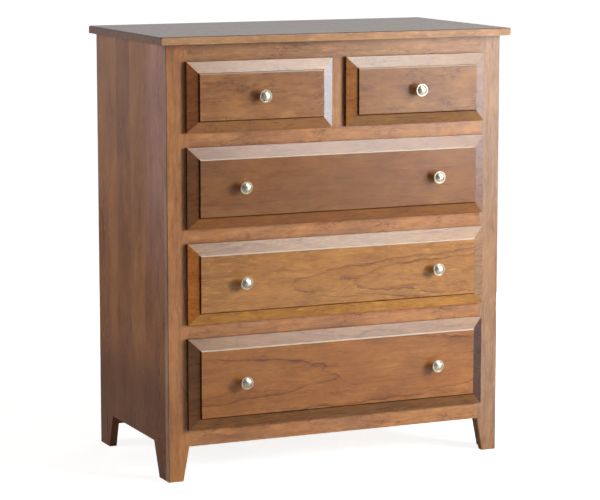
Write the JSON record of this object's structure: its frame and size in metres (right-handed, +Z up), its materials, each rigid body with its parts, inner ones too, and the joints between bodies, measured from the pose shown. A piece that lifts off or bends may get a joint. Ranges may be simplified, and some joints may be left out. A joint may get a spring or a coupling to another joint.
{
  "type": "chest of drawers",
  "caption": "Wooden chest of drawers with an overhanging slab top, tapered feet and bevelled raised block fronts with round knobs; each drawer runs out fully on telescopic slides.",
  "frame": {"origin": "on the floor, midway across the chest and midway between the knob tips and the back", "axes": "+Z up; the drawers open towards -Y; +X to the right of a person facing the drawers"},
  "size_m": [0.944, 0.5454, 1.09],
  "materials": {
    "stained_cherry": "satin lacquer over a brown stain",
    "carcass_poplar": "planed, bare",
    "drawer_maple": "clear satin lacquer",
    "birch_plywood": "sanded, clear sealed",
    "slide_steel": "bright zinc plate",
    "knob_nickel": "satin nickel plate",
    "screw_steel": "bright zinc plate"
  },
  "bodies": {
    "carcass": {"top_panel": "stained_cherry", "side_panel_left": "stained_cherry", "side_panel_right": "stained_cherry", "face_stile_left": "stained_cherry", "face_stile_right": "stained_cherry", "top_rail": "stained_cherry", "upper_drawer_rail": "stained_cherry", "middle_drawer_rail": "stained_cherry", "lower_drawer_rail": "stained_cherry", "bottom_rail": "stained_cherry", "upper_muntin": "stained_cherry", "centre_bearer": "carcass_poplar", "front_top_stretcher": "carcass_poplar", "back_top_stretcher": "carcass_poplar", "bottom_back_rail": "carcass_poplar", "back_panel": "birch_plywood", "slide_cleats_left": "carcass_poplar", "slide_cleats_right": "carcass_poplar", "slide_cabinet_members": "slide_steel", "top_screws": "screw_steel"},
    "upper_left_drawer": {"upper_left_drawer_front": "stained_cherry", "upper_left_drawer_side_left": "drawer_maple", "upper_left_drawer_side_right": "drawer_maple", "upper_left_drawer_back": "drawer_maple", "upper_left_drawer_bottom": "birch_plywood", "upper_left_drawer_knobs": "knob_nickel", "upper_left_drawer_slide_inner_members": "slide_steel"},
    "upper_left_drawer_middle_slides": {"upper_left_drawer_slide_middle_members": "slide_steel"},
    "upper_right_drawer": {"upper_right_drawer_front": "stained_cherry", "upper_right_drawer_side_left": "drawer_maple", "upper_right_drawer_side_right": "drawer_maple", "upper_right_drawer_back": "drawer_maple", "upper_right_drawer_bottom": "birch_plywood", "upper_right_drawer_knobs": "knob_nickel", "upper_right_drawer_slide_inner_members": "slide_steel"},
    "upper_right_drawer_middle_slides": {"upper_right_drawer_slide_middle_members": "slide_steel"},
    "second_drawer": {"second_drawer_front": "stained_cherry", "second_drawer_side_left": "drawer_maple", "second_drawer_side_right": "drawer_maple", "second_drawer_back": "drawer_maple", "second_drawer_bottom": "birch_plywood", "second_drawer_knobs": "knob_nickel", "second_drawer_slide_inner_members": "slide_steel"},
    "second_drawer_middle_slides": {"second_drawer_slide_middle_members": "slide_steel"},
    "third_drawer": {"third_drawer_front": "stained_cherry", "third_drawer_side_left": "drawer_maple", "third_drawer_side_right": "drawer_maple", "third_drawer_back": "drawer_maple", "third_drawer_bottom": "birch_plywood", "third_drawer_knobs": "knob_nickel", "third_drawer_slide_inner_members": "slide_steel"},
    "third_drawer_middle_slides": {"third_drawer_slide_middle_members": "slide_steel"},
    "bottom_drawer": {"bottom_drawer_front": "stained_cherry", "bottom_drawer_side_left": "drawer_maple", "bottom_drawer_side_right": "drawer_maple", "bottom_drawer_back": "drawer_maple", "bottom_drawer_bottom": "birch_plywood", "bottom_drawer_knobs": "knob_nickel", "bottom_drawer_slide_inner_members": "slide_steel"},
    "bottom_drawer_middle_slides": {"bottom_drawer_slide_middle_members": "slide_steel"}
  },
  "joints": [
    {"name": "upper_left_drawer_slide", "type": "slide", "parent": "carcass", "child": "upper_left_drawer", "axis": [0, -1, 0], "range_m": [0, 0.45]},
    {"name": "upper_left_drawer_middle_slide", "type": "slide", "parent": "carcass", "child": "upper_left_drawer_middle_slides", "axis": [0, -1, 0], "range_m": [0, 0.225]},
    {"name": "upper_right_drawer_slide", "type": "slide", "parent": "carcass", "child": "upper_right_drawer", "axis": [0, -1, 0], "range_m": [0, 0.45]},
    {"name": "upper_right_drawer_middle_slide", "type": "slide", "parent": "carcass", "child": "upper_right_drawer_middle_slides", "axis": [0, -1, 0], "range_m": [0, 0.225]},
    {"name": "second_drawer_slide", "type": "slide", "parent": "carcass", "child": "second_drawer", "axis": [0, -1, 0], "range_m": [0, 0.45]},
    {"name": "second_drawer_middle_slide", "type": "slide", "parent": "carcass", "child": "second_drawer_middle_slides", "axis": [0, -1, 0], "range_m": [0, 0.225]},
    {"name": "third_drawer_slide", "type": "slide", "parent": "carcass", "child": "third_drawer", "axis": [0, -1, 0], "range_m": [0, 0.45]},
    {"name": "third_drawer_middle_slide", "type": "slide", "parent": "carcass", "child": "third_drawer_middle_slides", "axis": [0, -1, 0], "range_m": [0, 0.225]},
    {"name": "bottom_drawer_slide", "type": "slide", "parent": "carcass", "child": "bottom_drawer", "axis": [0, -1, 0], "range_m": [0, 0.45]},
    {"name": "bottom_drawer_middle_slide", "type": "slide", "parent": "carcass", "child": "bottom_drawer_middle_slides", "axis": [0, -1, 0], "range_m": [0, 0.225]}
  ],
  "couplings": [
    {"joint": "upper_left_drawer_middle_slide", "follows": "upper_left_drawer_slide", "ratio": 0.5},
    {"joint": "upper_right_drawer_middle_slide", "follows": "upper_right_drawer_slide", "ratio": 0.5},
    {"joint": "second_drawer_middle_slide", "follows": "second_drawer_slide", "ratio": 0.5},
    {"joint": "third_drawer_middle_slide", "follows": "third_drawer_slide", "ratio": 0.5},
    {"joint": "bottom_drawer_middle_slide", "follows": "bottom_drawer_slide", "ratio": 0.5}
  ]
}
